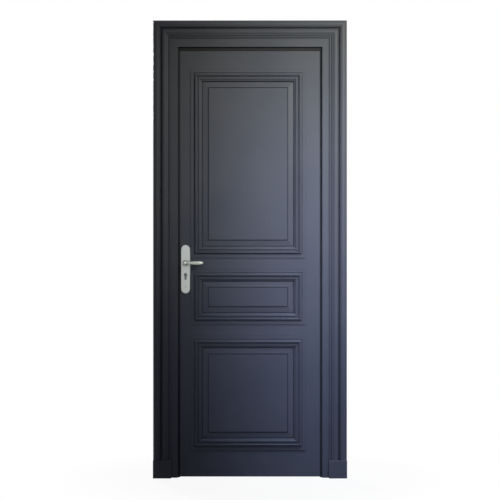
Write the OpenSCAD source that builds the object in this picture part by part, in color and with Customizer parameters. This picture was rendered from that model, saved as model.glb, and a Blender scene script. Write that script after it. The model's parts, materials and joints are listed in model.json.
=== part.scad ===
// Panelled front door in its frame: three raised panels with planted mouldings, a moulded architrave,
// lift-off hinges at the back right and a mortise lock with levers at the left.
// The front faces -Y, the floor is z = 0 and the leaf's middle plane is y = 0.

/* [Doorway] */
// Clear width between the stops
opening_w = 700; // [640:5:950]
// Clear height from the floor to the head's stop
opening_h = 2085; // [1950:5:2400]
// Gap between the leaf's edges and the frame
edge_gap = 3; // [2.5:0.25:5]
// Gap between the leaf and the floor
floor_gap = 3; // [2:1:15]
// Lap of the leaf behind the stops
leaf_lap = 11; // [8:1:20]

/* [Frame] */
// Width of a jamb and height of the head, from the stop's edge to the wall
jamb_w = 60; // [50:1:80]
// Depth of the stops in front of the leaf
stop_t = 15; // [12:1:60]
// Space for the seal between the stops and the leaf
seal_gap = 4; // [3:0.5:6]
// How far the side seals show past the stop's edge
seal_show = 10.5; // [4:0.5:12]
// How far the head's seal shows below the stop's edge
head_seal_show = 16; // [4:0.5:18]
// How far the seals reach behind the stops
seal_tuck = 7.5; // [4:0.5:10]
// Height of the lower fixing hole in each jamb
fixing_low = 450; // [400:10:700]
// Height of the upper fixing hole in each jamb
fixing_high = 1650; // [1400:10:1700]
// Diameter of the fixing holes
fixing_d = 8; // [6:0.5:10]

/* [Architrave] */
// Width of the flat band between a jamb's stop edge and the architrave
band_w = 31; // [20:1:40]
// Height of the flat band above the opening
head_band_h = 39.5; // [20:0.5:48]
// Radius of the outer roll
outer_roll_r = 18.5; // [17.5:0.5:20]
// Greatest thickness of the architrave
architrave_t = 20; // [18:0.5:26]
// Distance from the outer edge to the middle of the inner round
round_x = 54; // [52:0.5:57]
// Radius of the inner round
round_r = 15; // [14:0.5:17]
// Height of the inner round
round_h = 15; // [13:0.5:17]
// Width of the slope inside the round
slope_w = 19.7; // [16:0.1:24]
// Height at the foot of the slope
slope_foot_h = 6; // [4:0.5:8]
// Width of the groove beside the inner bead
groove_w = 3; // [1.5:0.1:3.5]
// Radius of the inner bead
inner_bead_r = 3.75; // [3:0.25:5]
// Height of the groove's floor and of the inner edge
inner_edge_h = 2.5; // [2:0.5:4]
// Height of the plinth blocks
plinth_h = 86; // [70:1:160]
// Thickness of the plinth blocks
plinth_t = 21.5; // [21:0.5:30]
// Chamfer on top of the plinth blocks
plinth_chamfer = 1.5; // [1:0.5:4]

/* [Leaf] */
// Thickness of the leaf
leaf_t = 48; // [44:1:60]
// Width of the lock stile
lock_stile_w = 94.5; // [93:0.5:120]
// Width of the hinge stile
hinge_stile_w = 114.5; // [92:0.5:130]
// Height of the top rail
top_rail_h = 141; // [110:1:170]
// Height of the bottom rail
bottom_rail_h = 151; // [130:1:220]
// Height of the lock rail's lower edge
lock_rail_z = 985; // [960:1:1010]
// Height of the lock rail
lock_rail_h = 101.5; // [90:0.5:120]
// Height of the frieze rail's lower edge
frieze_rail_z = 661.5; // [620:0.5:690]
// Height of the frieze rail
frieze_rail_h = 102; // [90:1:120]
// Length of the rails' tenons
tenon_l = 22; // [18:1:22]
// Thickness of the rails' tenons
tenon_t = 16; // [12:1:18]
// Shoulder above and below a tenon
tenon_shoulder = 14; // [13:1:20]

/* [Panels] */
// Thickness of the panels' edges
panel_edge_t = 17; // [17:1:24]
// Thickness of the panels' raised fields
panel_field_t = 40; // [38:1:44]
// Thickness of the panels at the foot of the bevel
bevel_foot_t = 26; // [22:1:30]
// Depth of the panel grooves
groove_depth = 12; // [8:1:13]
// Free space round a panel, in its grooves and inside the mouldings
panel_play = 2; // [1:0.5:3]
// Width of the bevel round the raised field
bevel_w = 26.5; // [15:0.5:35]
// Step from the bevel up to the raised field
field_step = 3; // [2:0.5:4]
// Width of the groove between bevel and field
field_groove_w = 4.5; // [3:0.5:6]
// Depth of that groove below the bevel
field_groove_d = 3.5; // [2:0.5:5]

/* [Panel moulding] */
// Lap of the moulding on the stiles and rails
moulding_lap = 22; // [20:1:26]
// Width of the outer lip
lip_w = 13; // [8:0.5:14]
// Height of the outer lip
lip_h = 5; // [3:0.5:7]
// Radius of the hollow between lip and main bead
hollow_r = 7.5; // [5:0.5:9]
// Flat between the lip and the hollow
hollow_flat_w = 1.5; // [1:0.25:3]
// Radius of the main bead
main_bead_r = 4.25; // [3:0.25:5]
// Height of the main bead's top
main_bead_h = 14; // [12:0.5:16]
// Width of the quirk between the beads
quirk_w = 7; // [4:0.5:9]
// Height of the floor of the quirk and the hollow
quirk_h = 2; // [1:0.25:3]
// Radius of the second bead
second_bead_r = 5; // [3:0.25:6]
// Height of the second bead's top
second_bead_h = 6; // [5:0.5:8]
// Radius of the inner round that falls to the panel
ovolo_r = 8; // [6:0.5:10]

/* [Lever and plates] */
// Height of the levers' spindle above the floor
spindle_z = 1039; // [1030:1:1055]
// Distance from the leaf's edge to the spindle
backset = 48.5; // [46:0.5:49]
// Width of the plates
plate_w = 46.5; // [42:0.5:46.5]
// Thickness of the plates
plate_t = 8; // [6:0.5:10]
// Width of the bevel round the plates
plate_bevel = 2.5; // [1:0.25:4]
// Reach of the plates above the spindle
plate_above = 89; // [80:1:110]
// Reach of the plates below the spindle
plate_below = 148; // [140:1:170]
// Outer radius of the collar round the lever
collar_r = 13; // [12:0.5:16]
// Height of the collar round the lever
collar_h = 3; // [2:0.5:5]
// Radius of the lever's hub
hub_r = 9; // [8:0.5:10]
// Radius of the round end of the hub
knuckle_r = 11.5; // [10.5:0.25:14]
// Distance from the plate to the lever's middle line
lever_stand = 45.75; // [38:0.25:60]
// Length of the lever from the spindle
lever_l = 90; // [80:1:130]
// Radius of the lever's neck
neck_r = 5; // [4:0.25:7]
// Radius of the grip's swelling
grip_r = 11; // [8:0.25:13]
// Distance from the grip's swelling to its tip
tip_l = 27; // [15:0.5:40]
// Side of the square spindle
spindle_side = 8; // [7:0.5:9]
// Radius of the screws that join the plates
plate_screw_r = 2.5; // [2:0.25:3]
// Distance of those screws from the plates' ends
plate_screw_inset = 18; // [14:0.5:22]
// Distance of the lower one from the plates' lower end
plate_screw_low = 34; // [30:0.5:36]

/* [Lock] */
// Distance from the spindle down to the cylinder
lock_centres = 57; // [54:1:60]
// Thickness of the lock case
case_t = 16; // [14:0.5:18]
// Wall of the lock case
case_wall = 2; // [1.5:0.25:2.5]
// Reach of the lock case above the spindle
case_above = 52; // [46:1:54]
// Reach of the lock case below the spindle
case_below = 98; // [90:1:100]
// Reach of the lock case behind the spindle
case_back = 19; // [18.5:0.5:20]
// Thickness of the forend and the strike plate
forend_t = 3; // [2:0.25:4]
// Width of the forend and the strike plate
forend_w = 24; // [23:0.5:26]
// Reach of the forend past the case at each end
forend_reach = 30; // [20:1:34]
// Reach of the keep block past the strike plate at each end
keep_block_reach = 20; // [10:1:40]
// Room round the bolts in the keep block
keep_room = 3.5; // [3:0.25:4]
// Height of the latch above the spindle
latch_rise = 27; // [26:0.5:30]
// Height of the latch bolt
latch_h = 18; // [14:0.5:20]
// Throw of the latch bolt
latch_throw = 11.5; // [10:0.5:12]
// Length of the latch bolt inside the leaf
latch_l = 21; // [18:0.5:22]
// Drop of the dead bolt below the spindle
bolt_drop = 28; // [27:0.5:29]
// Height of the dead bolt
bolt_h = 22; // [18:0.5:23]
// Throw of the dead bolt
bolt_throw = 20; // [14:0.5:22]
// Length of the dead bolt
bolt_l = 46; // [40:0.5:48]
// Radius of the cylinder's barrel
barrel_r = 8.5; // [8:0.25:9]
// Radius of the cylinder's plug
plug_r = 6.5; // [6:0.25:7]
// Width of the cylinder's web
web_w = 10; // [9:0.5:11]
// Drop of the cylinder's lower edge below the plug's middle
web_drop = 24.5; // [24:0.5:26]
// Reach of the cylinder's cam
cam_reach = 15; // [14:0.25:15.5]
// Thickness of the cylinder's cam
cam_t = 9; // [8:0.25:10]
// Width of the thumb turn's grip
turn_w = 24; // [18:0.5:30]
// Length of the thumb turn's grip
turn_l = 15; // [10:0.5:20]

/* [Hinges] */
// Height of a hinge
hinge_h = 120; // [100:1:160]
// Distance of the end hinges' middles from the leaf's ends
hinge_inset = 250; // [150:5:300]
// Radius of the hinges' knuckles
hinge_r = 6.5; // [6:0.25:8]
// Radius of the hinges' pins
pin_r = 4; // [3:0.25:4.5]
// Thickness of the hinges' plates
hinge_plate_t = 2.5; // [2:0.25:3]
// Width of the hinges' plates
hinge_plate_w = 30; // [26:0.5:34]
// Thickness of the washers between the knuckles
washer_t = 2; // [1:0.25:3]
// Radius of the wood screws
screw_r = 2.25; // [1.75:0.25:2.5]
// Length of the wood screws
screw_l = 35; // [25:1:36]

/* [Hidden] */
$fn = 64;

// Clearances: a hidden piece in its recess, a shaft in its bore, a sliding or turning face
fit_gap = 0.2;
run_gap = 0.05;
slide_gap = 0.2;
// One overrun for all cuts
cut_over = 1;

// Planes and edges of the leaf and the frame
leaf_front = -leaf_t / 2;
leaf_back = leaf_t / 2;
leaf_edge = opening_w / 2 + leaf_lap;
leaf_top = opening_h + leaf_lap;
leaf_l = leaf_top - floor_gap;
rebate = leaf_lap + edge_gap;
rebate_x = opening_w / 2 + rebate;
jamb_outer = opening_w / 2 + jamb_w;
head_outer = opening_h + jamb_w;
stop_back = leaf_front - seal_gap;
frame_front = stop_back - stop_t;
frame_depth = leaf_back - frame_front;

// Architrave section, measured from its outer edge. A quirk parts the roll from the round, and the slope
// starts inside the round.
roll_share = 0.975;
slope_dip_share = 0.06;
roll_x = roll_share * outer_roll_r;
slope_x = round_x + slope_w;
inner_bead_x = slope_x + groove_w + inner_bead_r;
architrave_w = inner_bead_x + inner_bead_r + groove_w;
architrave_x = opening_w / 2 + band_w;
architrave_z = opening_h + head_band_h;

// Openings between stiles and rails
panel_left = -leaf_edge + lock_stile_w;
panel_right = leaf_edge - hinge_stile_w;
bottom_open = [floor_gap + bottom_rail_h, frieze_rail_z];
middle_open = [frieze_rail_z + frieze_rail_h, lock_rail_z];
top_open = [lock_rail_z + lock_rail_h, leaf_top - top_rail_h];
panel_mid = (panel_left + panel_right) / 2;
panel_open_w = panel_right - panel_left;

// Panel moulding section, measured from the outer edge of its lip
main_bead_x = lip_w + hollow_flat_w + hollow_r + main_bead_r;
quirk_x = main_bead_x + main_bead_r;
second_bead_x = quirk_x + quirk_w + second_bead_r;
ovolo_x = second_bead_x + second_bead_r;
ovolo_share = 0.95;
moulding_w = ovolo_x + ovolo_share * ovolo_r;
panel_drop = (leaf_t - panel_edge_t) / 2;

// Lock places
lock_x = -leaf_edge + backset;
cylinder_z = spindle_z - lock_centres;
latch_z = spindle_z + latch_rise;
bolt_z = spindle_z - bolt_drop;
forend_x = -leaf_edge + forend_t;
case_low = spindle_z - case_below;
case_high = spindle_z + case_above;
case_l = lock_x + case_back - forend_x;
cavity_t = case_t - 2 * case_wall;
bolt_t = cavity_t - 2 * slide_gap;
forend_low = case_low - forend_reach;
forend_high = case_high + forend_reach;
keep_block_low = forend_low - keep_block_reach;
keep_block_high = forend_high + keep_block_reach;
forend_screw_z = [forend_low + forend_reach / 2, forend_high - forend_reach / 2];
plate_l = plate_above + plate_below;
plate_mid = spindle_z + (plate_above - plate_below) / 2;
plate_front = leaf_front - plate_t;
plate_screw_z = [plate_mid - plate_l / 2 + plate_screw_low, plate_mid + plate_l / 2 - plate_screw_inset];
lever_y = plate_front - lever_stand;
grip_x = lever_l - tip_l;
knuckle_flat_share = 0.98;
strike_x = -rebate_x - forend_t;
keep_depth = bolt_throw - edge_gap - forend_t + 2 * keep_room;
screw_head_r = 2 * screw_r;
screw_slot_w = screw_r / 2;

// The follower's arm leans back so that it meets the latch's hook late in the lever's travel
arm_r = 20;
arm_lean_share = 0.5;
arm_tip_r = 3;
arm_t = 6;
hook_play = 2.4;
tail_r = 3;
hook_t = 4;
hook_x = lock_x - arm_r * arm_lean_share + arm_tip_r + hook_play;
guide_t = 2;
guide_x = hook_x - guide_t - latch_throw / 2;

// Hinge places
pin_x = leaf_edge + edge_gap / 2;
pin_y = leaf_back + hinge_r + slide_gap * 2;
hinge_zs = [floor_gap + hinge_inset, floor_gap + leaf_l / 2, leaf_top - hinge_inset];
knuckle_l = (hinge_h - washer_t) / 2 - slide_gap;
hinge_cap = knuckle_l / 8;
hinge_screw_shares = [-0.36, 0, 0.36];
hinge_screw_y = leaf_back - hinge_plate_w / 2;

// A rectangle between two corners
module between(x0, z0, x1, z1) {
    translate([x0, z0]) square([x1 - x0, z1 - z0]);
}

// Section of the architrave, its back on h = 0
module architrave_section() {
    intersection() {
        union() {
            translate([roll_x, architrave_t - outer_roll_r]) circle(outer_roll_r);
            translate([round_x, round_h - round_r]) circle(round_r);
        }
        between(0, 0, slope_x, 2 * architrave_t);
    }
    polygon([
        [round_x, 0], [slope_x, 0], [slope_x, slope_foot_h], [round_x, round_h - slope_dip_share * round_r]
    ]);
    between(roll_x, 0, architrave_w, inner_edge_h);
    translate([inner_bead_x, inner_edge_h + inner_bead_r / 2]) circle(inner_bead_r);
}

// Section of a jamb from its wall side to the stop's edge, its front on h = 0
module jamb_section() {
    polygon([
        [0, 0], [jamb_w, 0], [jamb_w, -stop_t], [jamb_w - rebate, -stop_t],
        [jamb_w - rebate, -frame_depth], [0, -frame_depth]
    ]);
}

// Section of the planted panel moulding, the leaf's face on h = 0
module moulding_section() {
    main_z = main_bead_h - main_bead_r;
    second_z = second_bead_h - second_bead_r;
    hollow_start = lip_w + hollow_flat_w;
    hollow_end = hollow_start + hollow_r;
    between(0, 0, lip_w, lip_h);
    between(0, 0, moulding_lap, quirk_h);
    difference() {
        between(hollow_start, quirk_h, hollow_end, quirk_h + hollow_r);
        translate([hollow_start, quirk_h + hollow_r]) circle(hollow_r);
    }
    between(hollow_end, 0, quirk_x, main_z);
    translate([main_bead_x, main_z]) circle(main_bead_r);
    between(moulding_lap, -panel_drop, ovolo_x - second_bead_r, quirk_h);
    between(moulding_lap, -panel_drop, ovolo_x, second_z);
    translate([second_bead_x, second_z]) circle(second_bead_r);
    intersection() {
        translate([ovolo_x, -ovolo_r]) circle(ovolo_r);
        between(ovolo_x, -panel_drop, moulding_w, 0);
    }
    between(ovolo_x, -panel_drop, moulding_w, -ovolo_r);
}

// A strip along +X with its outer edge on y = 0 and its face up, mitred where asked
module strip(length, depth, mitre_start, mitre_end) {
    tall = frame_depth + architrave_t + leaf_t;
    far = depth + cut_over;
    intersection() {
        rotate([90, 0, 90]) linear_extrude(length) children();
        translate([0, 0, -tall]) linear_extrude(2 * tall) polygon([
            [-cut_over, -cut_over], [length + cut_over, -cut_over],
            [mitre_end ? length - far : length + cut_over, far], [mitre_start ? far : -cut_over, far]
        ]);
    }
}

// Places a strip on the front of the plane y, from the corner x, z and turned as seen from the front
module front_strip(x, y, z, turn) {
    translate([x, y, z]) rotate([90, 0, 0]) rotate([0, 0, turn]) children();
}

// A countersunk wood screw along +Z with its slotted head's top on z = 0
module wood_screw(length) {
    difference() {
        union() {
            translate([0, 0, -screw_r]) cylinder(r1 = screw_r, r2 = screw_head_r, h = screw_r);
            translate([0, 0, -length]) cylinder(r = screw_r, h = length - screw_r);
        }
        translate([-screw_head_r, -screw_slot_w / 2, -screw_slot_w])
            cube([2 * screw_head_r, screw_slot_w, screw_slot_w + cut_over]);
    }
}

// The hole that such a screw fills, for the plate and the wood
module wood_screw_hole(length) {
    translate([0, 0, -screw_r]) cylinder(r1 = screw_r, r2 = screw_head_r, h = screw_r);
    translate([0, 0, -length]) cylinder(r = screw_r, h = length);
}

// Places its children at each screw of a hinge's plate, pointing into the jamb or into the leaf
module at_hinge_screws(z, x, side) {
    for (share = hinge_screw_shares)
        translate([x, hinge_screw_y, z + share * hinge_h]) rotate([0, -90 * side, 0]) children();
}

// The recess and the screw holes of the hinge plates in a jamb or a stile
module hinge_cuts(x, side) {
    for (z = hinge_zs) {
        translate([min(x, x + side * hinge_plate_t), leaf_back - hinge_plate_w, z - hinge_h / 2])
            cube([hinge_plate_t, hinge_plate_w + cut_over, hinge_h]);
        at_hinge_screws(z, x, side) wood_screw_hole(screw_l);
    }
}

// The two fixing holes of a jamb
module fixing_holes(side) {
    for (z = [fixing_low, fixing_high])
        translate([side * (rebate_x - cut_over), 0, z]) rotate([0, side * 90, 0])
            cylinder(d = fixing_d, h = jamb_outer - rebate_x + 2 * cut_over);
}

// The lock jamb's bar, from the floor to the head
module lock_jamb_bar() {
    front_strip(-jamb_outer, frame_front, head_outer, 270)
        strip(head_outer, jamb_w, true, false) jamb_section();
}

// The length of that bar which the keep block takes
module keep_block_length() {
    translate([-jamb_outer - cut_over, frame_front - cut_over, keep_block_low])
        cube([jamb_w + 2 * cut_over, frame_depth + 2 * cut_over, keep_block_high - keep_block_low]);
}

module lock_jamb() {
    color("slategray") difference() {
        lock_jamb_bar();
        keep_block_length();
        fixing_holes(-1);
    }
}

// The block between the lock jamb's two lengths, which holds the strike plate and takes the bolts
module keep_block() {
    color("slategray") difference() {
        intersection() {
            lock_jamb_bar();
            keep_block_length();
        }
        translate([strike_x, 0, 0]) strike_outline(forend_t + cut_over, fit_gap, false);
        translate([strike_x - keep_depth, 0, latch_z]) keep(latch_h);
        translate([strike_x - keep_depth, 0, bolt_z]) keep(bolt_h);
        strike_screw_places() wood_screw_hole(screw_l);
    }
}

// A pocket in the keep block for a bolt, from its closed end at x = 0
module keep(height) {
    translate([0, -bolt_t / 2 - keep_room, -height / 2 - keep_room])
        cube([keep_depth + cut_over, bolt_t + 2 * keep_room, height + 2 * keep_room]);
}

module hinge_jamb() {
    color("slategray") difference() {
        front_strip(jamb_outer, frame_front, 0, 90)
            strip(head_outer, jamb_w, false, true) jamb_section();
        fixing_holes(1);
        hinge_cuts(rebate_x, 1);
    }
}

module head_jamb() {
    color("slategray")
        front_strip(jamb_outer, frame_front, head_outer, 180)
            strip(2 * jamb_outer, jamb_w, true, true) jamb_section();
}

architrave_outer = architrave_x + architrave_w;
architrave_top = architrave_z + architrave_w;

module architrave_left() {
    color("slategray")
        front_strip(-architrave_outer, frame_front, architrave_top, 270)
            strip(architrave_top - plinth_h, architrave_w, true, false) architrave_section();
}

module architrave_right() {
    color("slategray")
        front_strip(architrave_outer, frame_front, plinth_h, 90)
            strip(architrave_top - plinth_h, architrave_w, false, true) architrave_section();
}

module architrave_head() {
    color("slategray")
        front_strip(architrave_outer, frame_front, architrave_top, 180)
            strip(2 * architrave_outer, architrave_w, true, true) architrave_section();
}

// A plinth block with its inner edge at x = 0, running to +X
module plinth() {
    color("slategray") translate([0, frame_front, 0]) rotate([90, 0, 90])
        linear_extrude(architrave_w) polygon([
            [0, 0], [0, plinth_h], [-plinth_t + plinth_chamfer, plinth_h],
            [-plinth_t, plinth_h - plinth_chamfer], [-plinth_t, 0]
        ]);
}

module plinth_left() {
    translate([-architrave_outer, 0, 0]) plinth();
}

module plinth_right() {
    translate([architrave_x, 0, 0]) plinth();
}

// A seal of a given length from its seat behind the stop to its round lip
module seal(length, show) {
    lip = seal_gap - slide_gap;
    width = seal_tuck + show;
    color("black") rotate([90, 0, 90]) linear_extrude(length) mirror([0, 1]) {
        between(0, 0, width - lip / 2, lip);
        translate([width - lip / 2, lip / 2]) circle(lip / 2);
    }
}

seal_seat_x = opening_w / 2 + seal_tuck;
seal_z = opening_h - head_seal_show;

module seal_left() {
    front_strip(-seal_seat_x, stop_back, seal_z, 270) seal(seal_z, seal_show);
}

module seal_right() {
    mirror([1, 0, 0]) seal_left();
}

module seal_head() {
    front_strip(seal_seat_x, stop_back, opening_h + seal_tuck, 180) seal(2 * seal_seat_x, head_seal_show);
}

// The strike plate's outline at x = 0, with its lip for the latch, as a plate of the given thickness
module strike_outline(thickness, room, holes) {
    rotate([90, 0, 90]) linear_extrude(thickness) difference() {
        union() {
            between(-forend_w / 2 - room, forend_low - room, forend_w / 2 + room, forend_high + room);
            between(0, latch_z - latch_h - room, leaf_back + room, latch_z + latch_h + room);
        }
        if (holes) {
            between(-bolt_t / 2 - keep_room, latch_z - latch_h / 2 - keep_room,
                bolt_t / 2 + keep_room, latch_z + latch_h / 2 + keep_room);
            between(-bolt_t / 2 - keep_room, bolt_z - bolt_h / 2 - keep_room,
                bolt_t / 2 + keep_room, bolt_z + bolt_h / 2 + keep_room);
        }
    }
}

// Places its children at the strike plate's screws, pointing into the jamb
module strike_screw_places() {
    for (z = forend_screw_z)
        translate([-rebate_x, 0, z]) rotate([0, 90, 0]) children();
}

module strike_plate() {
    color("silver") difference() {
        translate([strike_x, 0, 0]) strike_outline(forend_t, 0, true);
        strike_screw_places() wood_screw_hole(screw_l);
    }
}

// A hinge's plate at the leaf's or the jamb's face x, with its knuckle from z0 upward
module hinge_plate(z, x, side, z0) {
    tab = pin_y - leaf_back;
    difference() {
        union() {
            translate([min(x, x + side * hinge_plate_t), leaf_back - hinge_plate_w, z - hinge_h / 2])
                cube([hinge_plate_t, hinge_plate_w, hinge_h]);
            translate([min(x, x + side * hinge_plate_t), leaf_back - tab, z0])
                cube([hinge_plate_t, 2 * tab, knuckle_l]);
            translate([pin_x, pin_y, z0]) cylinder(r = hinge_r, h = knuckle_l);
        }
        children();
        at_hinge_screws(z, x, side) wood_screw_hole(screw_l);
    }
}

module hinge_frame_plate(z) {
    z0 = z - hinge_h / 2;
    color("silver") hinge_plate(z, rebate_x, 1, z0)
        translate([pin_x, pin_y, z0 + hinge_cap]) cylinder(r = pin_r, h = knuckle_l);
}

module hinge_door_plate(z) {
    z0 = z + hinge_h / 2 - knuckle_l;
    color("silver") hinge_plate(z, leaf_edge, -1, z0)
        translate([pin_x, pin_y, z0 - hinge_cap]) cylinder(r = pin_r + run_gap, h = knuckle_l);
}

module hinge_pins() {
    low = -hinge_h / 2 + hinge_cap;
    high = hinge_h / 2 - hinge_cap - slide_gap;
    color("silver") for (z = hinge_zs)
        translate([pin_x, pin_y, z + low]) cylinder(r = pin_r, h = high - low);
}

module hinge_washers() {
    color("goldenrod") for (z = hinge_zs)
        translate([pin_x, pin_y, z - hinge_h / 2 + knuckle_l]) difference() {
            cylinder(r = hinge_r, h = washer_t);
            translate([0, 0, -cut_over]) cylinder(r = pin_r + run_gap, h = washer_t + 2 * cut_over);
        }
}

module hinge_bottom_frame_plate() { hinge_frame_plate(hinge_zs[0]); }
module hinge_middle_frame_plate() { hinge_frame_plate(hinge_zs[1]); }
module hinge_top_frame_plate() { hinge_frame_plate(hinge_zs[2]); }
module hinge_bottom_door_plate() { hinge_door_plate(hinge_zs[0]); }
module hinge_middle_door_plate() { hinge_door_plate(hinge_zs[1]); }
module hinge_top_door_plate() { hinge_door_plate(hinge_zs[2]); }

module frame_screws() {
    color("silver") {
        for (z = hinge_zs) at_hinge_screws(z, rebate_x, 1) wood_screw(screw_l);
        strike_screw_places() wood_screw(screw_l);
    }
}

module leaf_screws() {
    color("silver") {
        for (z = hinge_zs) at_hinge_screws(z, leaf_edge, -1) wood_screw(screw_l);
        forend_screw_places() wood_screw(screw_l);
    }
}

// Cuts the panel groove and the rails' mortises into a stile whose inner edge is x, facing side
module stile_cuts(x, side) {
    groove_t = panel_edge_t + 2 * fit_gap;
    for (span = [bottom_open, middle_open, top_open])
        translate([min(x, x - side * groove_depth), -groove_t / 2, span[0] - groove_depth])
            cube([groove_depth, groove_t, span[1] - span[0] + 2 * groove_depth]);
    for (span = rail_spans)
        translate([min(x, x - side * tenon_l), -tenon_t / 2, span[0] + tenon_shoulder])
            cube([tenon_l, tenon_t, span[1] - span[0] - 2 * tenon_shoulder]);
}
rail_spans = [
    [floor_gap, bottom_open[0]], [bottom_open[1], middle_open[0]],
    [middle_open[1], top_open[0]], [top_open[1], leaf_top]
];

module lock_stile() {
    color("slategray") difference() {
        translate([-leaf_edge, leaf_front, floor_gap]) cube([lock_stile_w, leaf_t, leaf_l]);
        stile_cuts(panel_left, 1);
        forend_block(fit_gap);
        translate([forend_x - cut_over, -case_t / 2 - fit_gap, case_low - fit_gap])
            cube([case_l + cut_over + fit_gap, case_t + 2 * fit_gap, case_high - case_low + 2 * fit_gap]);
        translate([lock_x, 0, spindle_z]) across() cylinder(r = hub_r + fit_gap, h = leaf_t + 2 * cut_over,
            center = true);
        translate([lock_x, 0, cylinder_z]) across()
            linear_extrude(leaf_t + 2 * cut_over, center = true) cylinder_profile(fit_gap);
        plate_screw_places() across() cylinder(r = plate_screw_r, h = leaf_t + 2 * cut_over, center = true);
        forend_screw_places() wood_screw_hole(screw_l);
    }
}

module hinge_stile() {
    color("slategray") difference() {
        translate([panel_right, leaf_front, floor_gap]) cube([hinge_stile_w, leaf_t, leaf_l]);
        stile_cuts(panel_right, -1);
        hinge_cuts(leaf_edge, -1);
    }
}

// A rail between the stiles with tenons and, where a panel meets it, a groove
module rail(span, groove_below, groove_above) {
    groove_t = panel_edge_t + 2 * fit_gap;
    color("slategray") difference() {
        union() {
            translate([panel_left, leaf_front, span[0]]) cube([panel_open_w, leaf_t, span[1] - span[0]]);
            translate([panel_left - tenon_l, -tenon_t / 2, span[0] + tenon_shoulder])
                cube([panel_open_w + 2 * tenon_l, tenon_t, span[1] - span[0] - 2 * tenon_shoulder]);
        }
        if (groove_below)
            translate([panel_left - cut_over, -groove_t / 2, span[0] - cut_over])
                cube([panel_open_w + 2 * cut_over, groove_t, groove_depth + cut_over]);
        if (groove_above)
            translate([panel_left - cut_over, -groove_t / 2, span[1] - groove_depth])
                cube([panel_open_w + 2 * cut_over, groove_t, groove_depth + cut_over]);
    }
}

module bottom_rail() { rail(rail_spans[0], false, true); }
module frieze_rail() { rail(rail_spans[1], true, true); }
module lock_rail() { rail(rail_spans[2], true, true); }
module top_rail() { rail(rail_spans[3], true, false); }

// Outline of a raised panel's cross-section for an opening of the given width, centred
module panel_outline(width) {
    tongue = groove_depth - panel_play;
    edge = width / 2 + tongue;
    bevel_start = width / 2 + moulding_lap - moulding_w - panel_play;
    bevel_end = bevel_start - bevel_w;
    field = bevel_end - field_groove_w;
    thin = panel_edge_t / 2;
    thick = panel_field_t / 2;
    bevel_top = thick - field_step;
    groove_floor = bevel_top - field_groove_d;
    half = [
        [edge, thin], [bevel_start, thin], [bevel_start, bevel_foot_t / 2], [bevel_end, bevel_top],
        [bevel_end, groove_floor], [field, groove_floor], [field, thick]
    ];
    polygon([
        for (p = half) p,
        for (i = [len(half) - 1 : -1 : 0]) [-half[i][0], half[i][1]],
        for (p = half) [-p[0], -p[1]],
        for (i = [len(half) - 1 : -1 : 0]) [half[i][0], -half[i][1]]
    ]);
}

// A raised and fielded panel, alike on both faces: where its two cross-sections meet
module raised_panel(span) {
    height = span[1] - span[0];
    reach = groove_depth + cut_over;
    color("slategray") translate([panel_mid, 0, (span[0] + span[1]) / 2]) intersection() {
        linear_extrude(height + 2 * groove_depth - 2 * panel_play, center = true)
            panel_outline(panel_open_w);
        rotate([90, 0, 90]) linear_extrude(panel_open_w + 2 * reach, center = true)
            rotate(90) panel_outline(height);
    }
}

module top_panel() { raised_panel(top_open); }
module middle_panel() { raised_panel(middle_open); }
module bottom_panel() { raised_panel(bottom_open); }

// One side of the planted moulding round a panel's opening, a mitred strip on each face of the leaf.
// Sides count from the bottom, as the strips follow each other seen from the front.
module moulding_side(span, side) {
    width = panel_open_w + 2 * moulding_lap;
    height = span[1] - span[0] + 2 * moulding_lap;
    left = panel_mid - width / 2;
    low = span[0] - moulding_lap;
    corners = [[left, low], [left + width, low], [left + width, low + height], [left, low + height]];
    length = side % 2 == 0 ? width : height;
    color("slategray") for (face = [0, 1]) mirror([0, face, 0])
        front_strip(corners[side][0], leaf_front, corners[side][1], 90 * side)
            strip(length, moulding_w, true, true) moulding_section();
}

module top_moulding_bottom() { moulding_side(top_open, 0); }
module top_moulding_right() { moulding_side(top_open, 1); }
module top_moulding_top() { moulding_side(top_open, 2); }
module top_moulding_left() { moulding_side(top_open, 3); }
module middle_moulding_bottom() { moulding_side(middle_open, 0); }
module middle_moulding_right() { moulding_side(middle_open, 1); }
module middle_moulding_top() { moulding_side(middle_open, 2); }
module middle_moulding_left() { moulding_side(middle_open, 3); }
module bottom_moulding_bottom() { moulding_side(bottom_open, 0); }
module bottom_moulding_right() { moulding_side(bottom_open, 1); }
module bottom_moulding_top() { moulding_side(bottom_open, 2); }
module bottom_moulding_left() { moulding_side(bottom_open, 3); }

// Turns a shape that stands along Z to run along Y, with its own y up
module across() {
    rotate([90, 0, 0]) children();
}

// Places its children at the two screws that join the plates
module plate_screw_places() {
    for (z = plate_screw_z) translate([lock_x, 0, z]) children();
}

// Places its children at the forend's screws, pointing into the stile
module forend_screw_places() {
    for (z = forend_screw_z) translate([-leaf_edge, 0, z]) rotate([0, -90, 0]) children();
}

// The forend's block, with room round it
module forend_block(room) {
    translate([-leaf_edge - room, -forend_w / 2 - room, forend_low - room])
        cube([forend_t + room, forend_w + 2 * room, forend_high - forend_low + 2 * room]);
}

// Outline of the cylinder, plug on top and web below, with room round it
module cylinder_profile(room) {
    circle(barrel_r + room);
    between(-web_w / 2 - room, -web_drop + web_w / 2, web_w / 2 + room, 0);
    translate([0, -web_drop + web_w / 2]) circle(web_w / 2 + room);
}

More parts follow.
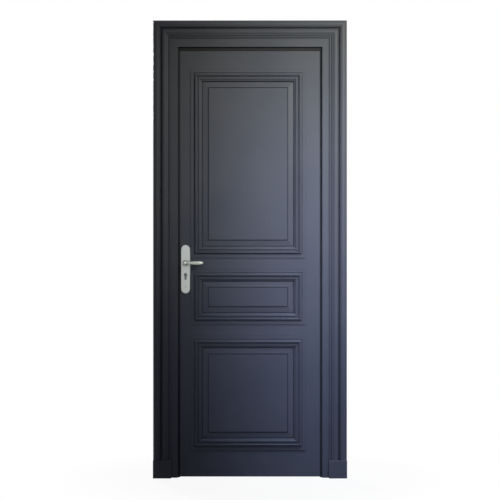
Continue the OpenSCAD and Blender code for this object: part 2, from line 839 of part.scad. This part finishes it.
module lock_case() {
    height = case_high - case_low;
    color("dimgray") difference() {
        translate([forend_x, -case_t / 2, case_low]) cube([case_l, case_t, height]);
        difference() {
            translate([forend_x - cut_over, -cavity_t / 2, case_low + case_wall])
                cube([case_l - case_wall + cut_over, cavity_t, height - 2 * case_wall]);
            translate([guide_x, -case_t / 2, latch_z - 2 * tail_r])
                cube([guide_t, case_t, case_high - latch_z + 2 * tail_r]);
        }
        translate([guide_x - cut_over, 0, latch_z]) rotate([0, 90, 0])
            cylinder(r = tail_r + slide_gap, h = guide_t + 2 * cut_over);
        translate([lock_x, 0, spindle_z]) across()
            cylinder(r = hub_r + run_gap, h = case_t + 2 * cut_over, center = true);
        translate([lock_x, 0, cylinder_z]) across()
            linear_extrude(case_t + 2 * cut_over, center = true) cylinder_profile(fit_gap);
    }
}

module lock_forend() {
    color("silver") difference() {
        forend_block(0);
        for (bolt = [[latch_z, latch_h], [bolt_z, bolt_h]])
            translate([-leaf_edge - cut_over, -bolt_t / 2 - slide_gap, bolt[0] - bolt[1] / 2 - slide_gap])
                cube([forend_t + 2 * cut_over, bolt_t + 2 * slide_gap, bolt[1] + 2 * slide_gap]);
        forend_screw_places() wood_screw_hole(screw_l);
        cylinder_screw_place() wood_screw_hole(backset);
    }
}

// Places its children at the long screw that holds the cylinder
module cylinder_screw_place() {
    translate([-leaf_edge, 0, cylinder_z - web_drop + web_w / 2]) rotate([0, -90, 0]) children();
}

module cylinder_screw() {
    color("silver") cylinder_screw_place() wood_screw(backset);
}

cylinder_end = leaf_t / 2 + plate_t - plate_bevel / 2;
cam_room = cam_reach + slide_gap;

module cylinder_body() {
    color("dimgray") difference() {
        translate([lock_x, 0, cylinder_z]) across() difference() {
            linear_extrude(2 * cylinder_end, center = true) cylinder_profile(0);
            cylinder(r = plug_r + run_gap, h = 2 * cylinder_end + 2 * cut_over, center = true);
            cylinder(r = cam_room, h = cam_t + 2 * slide_gap, center = true);
        }
        cylinder_screw_place() wood_screw_hole(backset);
    }
}

key_slot_w = plug_r / 3;
key_slot_h = plug_r * 1.4;

module cylinder_plug() {
    color("silver") translate([lock_x, 0, cylinder_z]) across() difference() {
        cylinder(r = plug_r, h = 2 * cylinder_end, center = true);
        translate([-key_slot_w / 2, -key_slot_h / 2, cylinder_end - plate_t])
            cube([key_slot_w, key_slot_h, plate_t + cut_over]);
    }
}

module cylinder_cam() {
    color("silver") translate([lock_x, 0, cylinder_z]) across() difference() {
        linear_extrude(cam_t, center = true) {
            circle(barrel_r);
            intersection() {
                between(-web_w / 2, -cam_reach, web_w / 2, 0);
                circle(cam_reach);
            }
        }
        cylinder(r = plug_r, h = cam_t + 2 * cut_over, center = true);
    }
}

// Outline with round ends
module stadium(width, length) {
    between(-width / 2, -(length - width) / 2, width / 2, (length - width) / 2);
    for (side = [-1, 1]) translate([0, side * (length - width) / 2]) circle(width / 2);
}

// The thumb turn on the cylinder's inner end: a stem through the plate and a flat grip
module thumb_turn() {
    stem_l = leaf_back + plate_t + slide_gap - cylinder_end;
    color("silver") translate([lock_x, cylinder_end, cylinder_z]) rotate([-90, 0, 0]) {
        cylinder(r = plug_r, h = stem_l);
        translate([0, 0, stem_l]) linear_extrude(turn_l) stadium(plug_r, turn_w);
    }
}

// A round-ended plate on the leaf's front with a bevelled rim and a collar for the lever
module handle_plate() {
    flat = plate_t - plate_bevel;
    half = (plate_l - plate_w) / 2;
    translate([lock_x, leaf_front, plate_mid]) across() {
        linear_extrude(flat) stadium(plate_w, plate_l);
        for (side = [-1, 1]) translate([0, side * half, flat])
            cylinder(r1 = plate_w / 2, r2 = plate_w / 2 - plate_bevel, h = plate_bevel);
        translate([0, half, 0]) rotate([90, 0, 0]) linear_extrude(2 * half) polygon([
            [-plate_w / 2, flat], [plate_w / 2, flat],
            [plate_w / 2 - plate_bevel, plate_t], [-plate_w / 2 + plate_bevel, plate_t]
        ]);
    }
    translate([lock_x, plate_front, spindle_z]) across() cylinder(r = collar_r, h = collar_h);
}

// The bores that both plates have
module plate_bores() {
    translate([lock_x, plate_front, spindle_z]) across()
        cylinder(r = hub_r + run_gap, h = 2 * (plate_t + collar_h) + 2 * cut_over, center = true);
    translate([lock_x, plate_front, cylinder_z]) across()
        linear_extrude(2 * plate_t + 2 * cut_over, center = true) cylinder_profile(fit_gap);
    plate_screw_places() translate([0, leaf_front, 0]) across()
        translate([0, 0, -cut_over]) cylinder(r = plate_screw_r, h = plate_screw_bite + cut_over);
}
plate_screw_bite = plate_t - plate_bevel;
cap_r = 1.8 * plate_screw_r;
cap_recess = plate_bevel / 4;

module outer_plate() {
    color("silver") difference() {
        handle_plate();
        plate_bores();
        translate([lock_x, plate_front, plate_screw_z[0]]) across()
            translate([0, 0, -cap_recess]) difference() {
                cylinder(r = cap_r, h = cap_recess + cut_over);
                cylinder(r = plate_screw_r, h = cap_recess + cut_over);
            }
    }
}

module inner_plate() {
    color("silver") difference() {
        mirror([0, 1, 0]) handle_plate();
        mirror([0, 1, 0]) plate_bores();
        plate_screws_solid();
    }
}

// The two screws from the inner plate into the outer one
module plate_screws_solid() {
    plate_screw_places() translate([0, leaf_back + plate_t, 0]) rotate([-90, 0, 0]) {
        translate([0, 0, -plate_bevel]) cylinder(r1 = plate_screw_r, r2 = 2 * plate_screw_r, h = plate_bevel);
        length = leaf_t + plate_t + plate_screw_bite;
        translate([0, 0, -length]) cylinder(r = plate_screw_r, h = length - plate_bevel);
    }
}

module plate_screws() {
    color("silver") plate_screws_solid();
}

// The half outline of the grip, round the X axis: a neck that swells in a wave, and an elliptical tip with a
// small flat at its end
module grip_outline() {
    steps = 9;
    polygon([
        [0, 0],
        for (i = [0 : steps]) [
            grip_x * i / steps, neck_r + (grip_r - neck_r) * (1 - cos(180 * i / steps)) / 2
        ],
        for (i = [1 : steps - 1]) [grip_x + tip_l * sin(90 * i / steps), grip_r * cos(90 * i / steps)],
        [grip_x + tip_l * sin(90 * (steps - 1) / steps), 0]
    ]);
}

// The round end of the lever's hub, with a small flat at each pole
module knuckle() {
    flat_z = knuckle_flat_share * knuckle_r;
    rotate_extrude() intersection() {
        circle(knuckle_r);
        between(0, -flat_z, knuckle_r + cut_over, flat_z);
    }
}

// A turned lever: hub, round end and swelling grip
module outer_lever() {
    hub_in = leaf_t / 2 - case_t / 2;
    color("silver") translate([lock_x, 0, spindle_z]) difference() {
        union() {
            translate([0, leaf_front + hub_in / 2, 0]) across()
                cylinder(r = hub_r, h = leaf_front + hub_in / 2 - lever_y);
            translate([0, lever_y, 0]) across() knuckle();
            translate([0, lever_y, 0]) rotate([0, 90, 0]) rotate_extrude()
                rotate(90) mirror([0, 1]) grip_outline();
        }
        spindle_bar();
    }
}

module inner_lever() {
    mirror([0, 1, 0]) outer_lever();
}

// The square bar through the lock, from lever to lever
module spindle_bar() {
    cube([spindle_side, -2 * (lever_y + knuckle_r / 2), spindle_side], center = true);
}

module spindle() {
    color("silver") translate([lock_x, 0, spindle_z]) spindle_bar();
}

module follower() {
    color("dimgray") translate([lock_x, 0, spindle_z]) difference() {
        union() {
            across() cylinder(r = hub_r, h = case_t, center = true);
            across() linear_extrude(arm_t, center = true) rotate(asin(arm_lean_share)) {
                between(-arm_tip_r, 0, arm_tip_r, arm_r);
                translate([0, arm_r]) circle(arm_tip_r);
            }
        }
        spindle_bar();
    }
}

// The latch bolt with its sloped nose, tail and hook
module latch_bolt() {
    nose = -leaf_edge - latch_throw;
    half = bolt_t / 2;
    head_end = -leaf_edge + latch_l;
    color("silver") {
        translate([0, 0, latch_z - latch_h / 2]) linear_extrude(latch_h) polygon([
            [nose, half], [nose, half / 2], [-leaf_edge, -half], [head_end, -half], [head_end, half]
        ]);
        translate([head_end, 0, latch_z]) rotate([0, 90, 0])
            cylinder(r = tail_r, h = hook_x + hook_t - head_end);
        translate([hook_x, -arm_t / 2, latch_z - 4 * tail_r]) cube([hook_t, arm_t, 5 * tail_r]);
    }
}

module dead_bolt() {
    color("silver") translate([-leaf_edge, -bolt_t / 2, bolt_z - bolt_h / 2])
        cube([bolt_l, bolt_t, bolt_h]);
}

lock_jamb();
keep_block();
hinge_jamb();
head_jamb();
architrave_left();
architrave_right();
architrave_head();
plinth_left();
plinth_right();
seal_left();
seal_right();
seal_head();
strike_plate();
hinge_bottom_frame_plate();
hinge_middle_frame_plate();
hinge_top_frame_plate();
hinge_pins();
hinge_washers();
frame_screws();
lock_stile();
hinge_stile();
top_rail();
lock_rail();
frieze_rail();
bottom_rail();
top_panel();
middle_panel();
bottom_panel();
top_moulding_bottom();
top_moulding_right();
top_moulding_top();
top_moulding_left();
middle_moulding_bottom();
middle_moulding_right();
middle_moulding_top();
middle_moulding_left();
bottom_moulding_bottom();
bottom_moulding_right();
bottom_moulding_top();
bottom_moulding_left();
hinge_bottom_door_plate();
hinge_middle_door_plate();
hinge_top_door_plate();
leaf_screws();
lock_case();
lock_forend();
cylinder_body();
cylinder_screw();
outer_plate();
inner_plate();
plate_screws();
outer_lever();
inner_lever();
spindle();
follower();
latch_bolt();
dead_bolt();
cylinder_plug();
cylinder_cam();
thumb_turn();
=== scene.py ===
import json
import math

import bmesh
import bpy
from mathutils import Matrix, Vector


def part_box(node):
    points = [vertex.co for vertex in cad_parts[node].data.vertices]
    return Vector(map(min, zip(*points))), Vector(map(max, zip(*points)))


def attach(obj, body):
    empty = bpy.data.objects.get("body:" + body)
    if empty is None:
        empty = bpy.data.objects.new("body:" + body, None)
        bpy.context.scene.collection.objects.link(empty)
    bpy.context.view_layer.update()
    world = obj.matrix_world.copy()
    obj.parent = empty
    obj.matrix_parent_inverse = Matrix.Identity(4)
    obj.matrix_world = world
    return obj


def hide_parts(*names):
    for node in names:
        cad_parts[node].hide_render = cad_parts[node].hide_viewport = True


# The door stands as in the CAD frame: front to -Y, floor at z = 0, metres.
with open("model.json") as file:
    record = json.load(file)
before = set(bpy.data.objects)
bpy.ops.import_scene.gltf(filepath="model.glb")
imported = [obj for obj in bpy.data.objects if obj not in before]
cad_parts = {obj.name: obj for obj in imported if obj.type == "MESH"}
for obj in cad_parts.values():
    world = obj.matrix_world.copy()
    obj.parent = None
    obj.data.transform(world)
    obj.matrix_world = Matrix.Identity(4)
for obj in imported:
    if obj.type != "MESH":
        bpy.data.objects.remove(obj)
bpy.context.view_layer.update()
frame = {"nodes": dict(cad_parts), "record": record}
nodes = frame["nodes"]

# Photograph
IMAGE_PX = 500
MM_PER_PX = 4.838
FLOOR_ROW_PX = 477.8

# Camera: level, in front of the door's middle
EYE_DISTANCE = 6.0
EYE_HEIGHT = 0.95
SENSOR_MM = 36.0
MM_PER_M = 1000

# Colours are linear. The paint has a slate grey's deeper and chalkier tone.
SLATE_DEEP = (0.080, 0.088, 0.114)
SLATE_CHALK = (0.120, 0.126, 0.148)
SEAL_BLACK = (0.034, 0.035, 0.038)
SEAL_BLOOMED = (0.052, 0.053, 0.057)
STEEL = (0.405, 0.42, 0.385)
CYLINDER_GREY = (0.13, 0.135, 0.135)
HINGE_STEEL = (0.50, 0.50, 0.49)
LOCK_IRON = (0.16, 0.16, 0.17)
BRASS = (0.60, 0.45, 0.20)

# Shares of a colour that are left in its darker lines, its darker grains and its painted shade
# in grooves
METAL_LINE_SHADE = 0.86
CAST_GRAIN_SHADE = 0.6
PAINT_GROOVE_SHADE_SHARE = 0.3
METAL_GROOVE_SHADE_SHARE = 0.2

# Noise: its scale and its detail
CLOUDS = (3.2, 4.0)
BRUSH_MARKS = (900.0, 2.0)
METAL_LINES = (2600.0, 2.0)
SEAL_BLOOM = (240.0, 3.0)
CAST_GRAINS = (700.0, 4.0)

# Band of the noise in which one colour turns into the other
CLOUD_BAND = (0.2, 0.8)
BRUSH_BAND = (0.25, 0.75)
FINE_BAND = (0.3, 0.7)

# How the noise is stretched along X, Y and Z: a small number draws it out
EVEN = (1, 1, 1)
UPWARD = (1, 1, 0.02)
SIDEWAYS = (0.02, 1, 1)
INWARD = (1, 0.02, 1)
SEAL_STRETCH = (1, 1, 0.1)

# Share of the brush marks in the paint's tone
STREAK_SHARE = 0.3

# Gloss: the lowest and highest roughness, and the specular level of what isn't metal
PAINT_ROUGHNESS = (0.36, 0.5)
SEAL_ROUGHNESS = (0.6, 0.8)
CAST_ROUGHNESS = (0.45, 0.7)
PAINT_SPECULAR = 0.12
SEAL_SPECULAR = 0.05
CAST_METALLIC = 0.9

# Brushed metal: its mean roughness, and how far its lines go below and above that
STEEL_ROUGHNESS = 0.32
FITTING_ROUGHNESS = 0.3
SMOOTHER = 0.05
ROUGHER = 0.07

# Relief: the bump's strength, its depth and the radius of softened edges, the last two in metres
PAINT_RELIEF = (0.12, 0.0003, 0.0012)
METAL_RELIEF = (0.06, 0.0001, 0.0006)
CAST_RELIEF = (0.3, 0.0002, 0.0005)
EDGE_SAMPLES = 4

# Painted shade in grooves and corners, from ambient occlusion darkening the colour: its reach in
# metres and the openness at which none is left
PAINT_GROOVE_SHADE = (0.008, 0.78)
METAL_GROOVE_SHADE = (0.004, 0.95)
# How much openness lies between full painted shade and none
GROOVE_SHADE_SPAN = 0.5
GROOVE_SHADE_SAMPLES = 8

# Words in the names of the painted members that lie across, so that their brush marks do too
ACROSS_WORDS = ("rail", "head", "_top", "_bottom")


def material(name):
    """A new node material: itself, a maker of nodes, a maker of links, and its shader."""
    made = bpy.data.materials.new(name)
    made.use_nodes = True
    tree = made.node_tree

    def node(kind, **settings):
        added = tree.nodes.new(kind)
        for key, value in settings.items():
            setattr(added, key, value)
        return added

    return made, node, tree.links.new, tree.nodes["Principled BSDF"]


def shade(colour, share):
    """A colour darkened to a share of itself."""
    return tuple(channel * share for channel in colour)


def ramp(node, link, source, low, high, band):
    """A colour ramp from low to high within a band of the source."""
    out = node("ShaderNodeValToRGB")
    first, last = out.color_ramp.elements
    first.position, last.position = band
    first.color, last.color = (*low, 1), (*high, 1)
    link(source, out.inputs["Fac"])
    return out.outputs["Color"]


def blend(node, link, share, first, second):
    """Two colours mixed by a share of the second."""
    out = node("ShaderNodeMix", data_type="RGBA")
    out.inputs[0].default_value = share
    link(first, out.inputs[6])
    link(second, out.inputs[7])
    return out.outputs[2]


def spread(node, link, source, low, high):
    """The source, from 0 to 1, spread over low to high."""
    out = node("ShaderNodeMapRange")
    out.inputs["To Min"].default_value = low
    out.inputs["To Max"].default_value = high
    link(source, out.inputs["Value"])
    return out.outputs["Result"]


def noise(node, link, stretch, scale, detail):
    """Noise from 0 to 1 that is fixed to the object and stretched along X, Y and Z."""
    coords = node("ShaderNodeTexCoord")
    mapping = node("ShaderNodeMapping")
    mapping.inputs["Scale"].default_value = stretch
    link(coords.outputs["Object"], mapping.inputs["Vector"])
    out = node("ShaderNodeTexNoise")
    out.inputs["Scale"].default_value = scale
    out.inputs["Detail"].default_value = detail
    link(mapping.outputs["Vector"], out.inputs["Vector"])
    return out.outputs["Fac"]


def relief(node, link, height, strength, depth, radius):
    """A normal with small relief from a height, over edges softened by a radius."""
    soft = node("ShaderNodeBevel", samples=EDGE_SAMPLES)
    soft.inputs["Radius"].default_value = radius
    out = node("ShaderNodeBump")
    out.inputs["Strength"].default_value = strength
    out.inputs["Distance"].default_value = depth
    link(height, out.inputs["Height"])
    link(soft.outputs["Normal"], out.inputs["Normal"])
    return out.outputs["Normal"]


def painted_groove_shade(node, link, tone, groove_shade_colour, reach, clear):
    """A tone darkened with painted shade in grooves and corners within a reach, and left as it
    is where it is open.
    """
    corner = node("ShaderNodeAmbientOcclusion", samples=GROOVE_SHADE_SAMPLES)
    corner.inputs["Distance"].default_value = reach
    share = node("ShaderNodeMapRange")
    share.inputs["From Min"].default_value = clear - GROOVE_SHADE_SPAN
    share.inputs["From Max"].default_value = clear
    link(corner.outputs["AO"], share.inputs["Value"])
    out = node("ShaderNodeMix", data_type="RGBA")
    out.inputs[6].default_value = (*groove_shade_colour, 1)
    link(share.outputs["Result"], out.inputs[0])
    link(tone, out.inputs[7])
    return out.outputs[2]


def slate_paint(name, stretch):
    """Satin paint on timber: cloudy tone, brush marks along the member and soft arrises."""
    made, node, link, shader = material(name)
    clouds = noise(node, link, EVEN, *CLOUDS)
    tone = ramp(node, link, clouds, SLATE_DEEP, SLATE_CHALK, CLOUD_BAND)
    marks = noise(node, link, stretch, *BRUSH_MARKS)
    streaks = ramp(node, link, marks, SLATE_DEEP, SLATE_CHALK, BRUSH_BAND)
    brushed = blend(node, link, STREAK_SHARE, tone, streaks)
    # Painted shade: the tone turns to a deep slate in grooves and corners, where shade falls.
    groove_shade_colour = shade(SLATE_DEEP, PAINT_GROOVE_SHADE_SHARE)
    link(painted_groove_shade(node, link, brushed, groove_shade_colour, *PAINT_GROOVE_SHADE), shader.inputs["Base Color"])
    link(spread(node, link, marks, *PAINT_ROUGHNESS), shader.inputs["Roughness"])
    shader.inputs["Specular IOR Level"].default_value = PAINT_SPECULAR
    link(relief(node, link, marks, *PAINT_RELIEF), shader.inputs["Normal"])
    return made


def satin_metal(name, colour, roughness, stretch):
    """Brushed metal: fine lines along one way, painted shade in its corners, and soft edges."""
    made, node, link, shader = material(name)
    lines = noise(node, link, stretch, *METAL_LINES)
    tone = ramp(node, link, lines, shade(colour, METAL_LINE_SHADE), colour, FINE_BAND)
    # Painted shade: the metal turns darker in its corners and grooves, such as round the lever's
    # hub.
    groove_shade_colour = shade(colour, METAL_GROOVE_SHADE_SHARE)
    link(painted_groove_shade(node, link, tone, groove_shade_colour, *METAL_GROOVE_SHADE), shader.inputs["Base Color"])
    gloss = spread(node, link, lines, roughness - SMOOTHER, roughness + ROUGHER)
    link(gloss, shader.inputs["Roughness"])
    shader.inputs["Metallic"].default_value = 1.0
    link(relief(node, link, lines, *METAL_RELIEF), shader.inputs["Normal"])
    return made


def black_rubber(name):
    """Matt black seal with a faint bloom."""
    made, node, link, shader = material(name)
    bloom = noise(node, link, SEAL_STRETCH, *SEAL_BLOOM)
    tone = ramp(node, link, bloom, SEAL_BLACK, SEAL_BLOOMED, FINE_BAND)
    link(tone, shader.inputs["Base Color"])
    link(spread(node, link, bloom, *SEAL_ROUGHNESS), shader.inputs["Roughness"])
    shader.inputs["Specular IOR Level"].default_value = SEAL_SPECULAR
    return made


def cast_metal(name, colour):
    """Rough dark metal of the lock's case."""
    made, node, link, shader = material(name)
    grains = noise(node, link, EVEN, *CAST_GRAINS)
    tone = ramp(node, link, grains, shade(colour, CAST_GRAIN_SHADE), colour, FINE_BAND)
    link(tone, shader.inputs["Base Color"])
    link(spread(node, link, grains, *CAST_ROUGHNESS), shader.inputs["Roughness"])
    shader.inputs["Metallic"].default_value = CAST_METALLIC
    link(relief(node, link, grains, *CAST_RELIEF), shader.inputs["Normal"])
    return made


paint_across = slate_paint("slate_paint_across", SIDEWAYS)
paint_up = slate_paint("slate_paint_up", UPWARD)
finish = {
    "seal_rubber": black_rubber("seal_rubber"),
    "satin_steel": satin_metal("satin_steel", STEEL, STEEL_ROUGHNESS, UPWARD),
    "cylinder_metal": satin_metal("cylinder_metal", CYLINDER_GREY, FITTING_ROUGHNESS, INWARD),
    "hinge_steel": satin_metal("hinge_steel", HINGE_STEEL, FITTING_ROUGHNESS, UPWARD),
    "lock_iron": cast_metal("lock_iron", LOCK_IRON),
    "washer_brass": satin_metal("washer_brass", BRASS, FITTING_ROUGHNESS, SIDEWAYS),
}


def paint_for(name):
    """The paint whose brush marks run along a painted member."""
    return paint_across if any(word in name for word in ACROSS_WORDS) else paint_up


for part in frame["record"]["subparts"]:
    name, slot = part["node"], part["material_slot"]
    obj = nodes[name]
    obj.data.materials.clear()
    obj.data.materials.append(finish[slot] if slot in finish else paint_for(name))


# Panels: the section of the solids, in metres, with mitred corners, so that the groove rings
# the field and stops short of the bevels

PANEL_PLAY = 0.002
EDGE_HALF = 0.0085
BEVEL_FOOT_HALF = 0.013
BEVEL_WIDTH = 0.0265
FIELD_STEP = 0.003
GROOVE_WIDTH = 0.0045
GROOVE_DEPTH = 0.0035


def panel_section(name):
    """Pairs of inset from the panel's edge and half thickness, from its tongue to its field."""
    low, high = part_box(name)
    strip_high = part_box(name.replace("panel", "moulding_left"))[1]
    bevel_start = strip_high.x + PANEL_PLAY - low.x
    bevel_end = bevel_start + BEVEL_WIDTH
    field_start = bevel_end + GROOVE_WIDTH
    field_half = (high.y - low.y) / 2
    bevel_top_half = field_half - FIELD_STEP
    groove_half = bevel_top_half - GROOVE_DEPTH
    return [
        (0, EDGE_HALF),
        (bevel_start, EDGE_HALF),
        (bevel_start, BEVEL_FOOT_HALF),
        (bevel_end, bevel_top_half),
        (bevel_end, groove_half),
        (field_start, groove_half),
        (field_start, field_half),
    ]


def mitred_panel(name):
    """A raised and fielded panel, alike on both faces, in place of its solid."""
    low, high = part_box(name)
    middle = (low.y + high.y) / 2
    shape = bmesh.new()

    def ring(inset, y):
        left, right = low.x + inset, high.x - inset
        foot, top = low.z + inset, high.z - inset
        corners = ((left, foot), (right, foot), (right, top), (left, top))
        return [shape.verts.new((x, y, z)) for x, z in corners]

    section = panel_section(name)
    rings = [ring(inset, middle + half) for inset, half in reversed(section)]
    rings += [ring(inset, middle - half) for inset, half in section]
    shape.faces.new(rings[0])
    shape.faces.new(rings[-1])
    for near, far in zip(rings, rings[1:]):
        for i in range(len(near)):
            j = (i + 1) % len(near)
            shape.faces.new((near[i], near[j], far[j], far[i]))
    bmesh.ops.recalc_face_normals(shape, faces=shape.faces)
    mesh = bpy.data.meshes.new(name + "_mitred")
    shape.to_mesh(mesh)
    shape.free()
    panel = bpy.data.objects.new(name + "_mitred", mesh)
    bpy.context.scene.collection.objects.link(panel)
    panel.data.materials.append(paint_for(name))
    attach(panel, "leaf")
    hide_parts(name)


for panel_name in ("top_panel", "middle_panel", "bottom_panel"):
    mitred_panel(panel_name)


# Stage: a pale floor, a white background and soft lamps

FLOOR_SIZE = 12.0
FLOOR_ROUGHNESS = 0.9
FLOOR_SPECULAR = 0.1
# The floor as it is seen, and as it lights the door
FLOOR_SEEN = (0.80, 0.80, 0.80)
FLOOR_BOUNCE = (0.10, 0.10, 0.105)
# Share of plain white in the floor by the door, and the distances over which it grows to all
FLOOR_WHITE = 0.93
FADE_START = 0.4
FADE_END = 1.1

WORLD_FILL = (0.045, 0.043, 0.058)

LAMP_RADIUS = 0.4
# Lamps: place, aim, cone in degrees, width of the cone as a share of its height, watts, colour
LAMPS = {
    "key": ((1.5, -2.8, 2.7), (0.63, 0, 1.82), 44, 1.0, 412, (1.0, 0.98, 0.78)),
    "low": ((0.4, -2.96, 1.8), (0.36, 0, 1.03), 48, 0.46, 235, (0.55, 0.63, 1.0)),
    "top": ((0.6, -1.3, 3.4), (0.33, 0, -0.15), 31, 0.5, 410, (0.62, 0.73, 1.0)),
    "back": ((-1.6, 3.4, 2.6), (0, 0, 1.1), 60, 1.0, 700, (1.0, 0.98, 0.95)),
}


def seen_rays(tree):
    """1 for the rays that show the background: the camera's, and those off gloss or in glass."""
    path = tree.nodes.new("ShaderNodeLightPath")
    total = path.outputs["Is Camera Ray"]
    for kind in ("Is Glossy Ray", "Is Transmission Ray"):
        larger = tree.nodes.new("ShaderNodeMath")
        larger.operation = "MAXIMUM"
        tree.links.new(total, larger.inputs[0])
        tree.links.new(path.outputs[kind], larger.inputs[1])
        total = larger.outputs[0]
    return total


def pale_floor():
    """A pale floor that keeps a soft shadow by the door and is white away from it."""
    made, node, link, shader = material("pale_floor")
    seen = seen_rays(made.node_tree)
    tone = ramp(node, link, seen, FLOOR_BOUNCE, FLOOR_SEEN, (0, 1))
    link(tone, shader.inputs["Base Color"])
    shader.inputs["Roughness"].default_value = FLOOR_ROUGHNESS
    shader.inputs["Specular IOR Level"].default_value = FLOOR_SPECULAR

    coords = node("ShaderNodeTexCoord")
    distance = node("ShaderNodeVectorMath", operation="LENGTH")
    link(coords.outputs["Object"], distance.inputs[0])
    fade = node("ShaderNodeMapRange", interpolation_type="SMOOTHSTEP")
    fade.inputs["From Min"].default_value = FADE_START
    fade.inputs["From Max"].default_value = FADE_END
    fade.inputs["To Min"].default_value = FLOOR_WHITE
    link(distance.outputs["Value"], fade.inputs["Value"])
    share = node("ShaderNodeMath", operation="MULTIPLY")
    link(fade.outputs["Result"], share.inputs[0])
    link(seen, share.inputs[1])

    white = node("ShaderNodeEmission")
    white.inputs["Strength"].default_value = 1.0
    mix = node("ShaderNodeMixShader")
    link(share.outputs[0], mix.inputs["Fac"])
    link(shader.outputs["BSDF"], mix.inputs[1])
    link(white.outputs["Emission"], mix.inputs[2])
    link(mix.outputs["Shader"], made.node_tree.nodes["Material Output"].inputs["Surface"])
    return made


def white_world(fill):
    """White where the camera and metal look, and a dim even fill elsewhere."""
    world = bpy.data.worlds.new("studio")
    bpy.context.scene.world = world
    world.use_nodes = True
    tree = world.node_tree
    background = tree.nodes["Background"]
    white = tree.nodes.new("ShaderNodeBackground")
    mix = tree.nodes.new("ShaderNodeMixShader")
    background.inputs["Color"].default_value = (*fill, 1)
    white.inputs["Color"].default_value = (1, 1, 1, 1)
    tree.links.new(seen_rays(tree), mix.inputs["Fac"])
    tree.links.new(background.outputs["Background"], mix.inputs[1])
    tree.links.new(white.outputs["Background"], mix.inputs[2])
    tree.links.new(mix.outputs["Shader"], tree.nodes["World Output"].inputs["Surface"])


def soft_spot(name, stand, aim, cone, width, watts, colour):
    """A soft spot whose light fades from its middle to its rim."""
    data = bpy.data.lights.new(name, "SPOT")
    data.spot_size = math.radians(cone)
    data.spot_blend = 1.0
    data.shadow_soft_size = LAMP_RADIUS
    data.energy = watts
    data.color = colour
    lamp = bpy.data.objects.new(name, data)
    bpy.context.scene.collection.objects.link(lamp)
    lamp.location = stand
    lamp.rotation_euler = (Vector(aim) - Vector(stand)).to_track_quat("-Z", "Y").to_euler()
    lamp.scale = (width, 1, 1)


bpy.ops.mesh.primitive_plane_add(size=FLOOR_SIZE, location=(0, 0, 0))
floor = bpy.context.object
floor.name = "floor"
floor.data.materials.append(pale_floor())

white_world(WORLD_FILL)
for lamp_name, lamp_values in LAMPS.items():
    soft_spot(lamp_name, *lamp_values)


# Camera

def photo_camera():
    """A level camera that frames the door as the photograph does."""
    face_distance = EYE_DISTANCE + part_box("lock_jamb")[0].y
    frame_mm = IMAGE_PX * MM_PER_PX
    middle_mm = (FLOOR_ROW_PX - IMAGE_PX / 2) * MM_PER_PX
    data = bpy.data.cameras.new("photo_camera")
    data.sensor_width = SENSOR_MM
    data.lens = SENSOR_MM * face_distance * MM_PER_M / frame_mm
    data.shift_y = (middle_mm - EYE_HEIGHT * MM_PER_M) / frame_mm
    camera = bpy.data.objects.new("photo_camera", data)
    bpy.context.scene.collection.objects.link(camera)
    camera.location = (0, -EYE_DISTANCE, EYE_HEIGHT)
    camera.rotation_euler = (math.pi / 2, 0, 0)
    bpy.context.scene.camera = camera


photo_camera()
bpy.context.scene.view_settings.view_transform = "Standard"
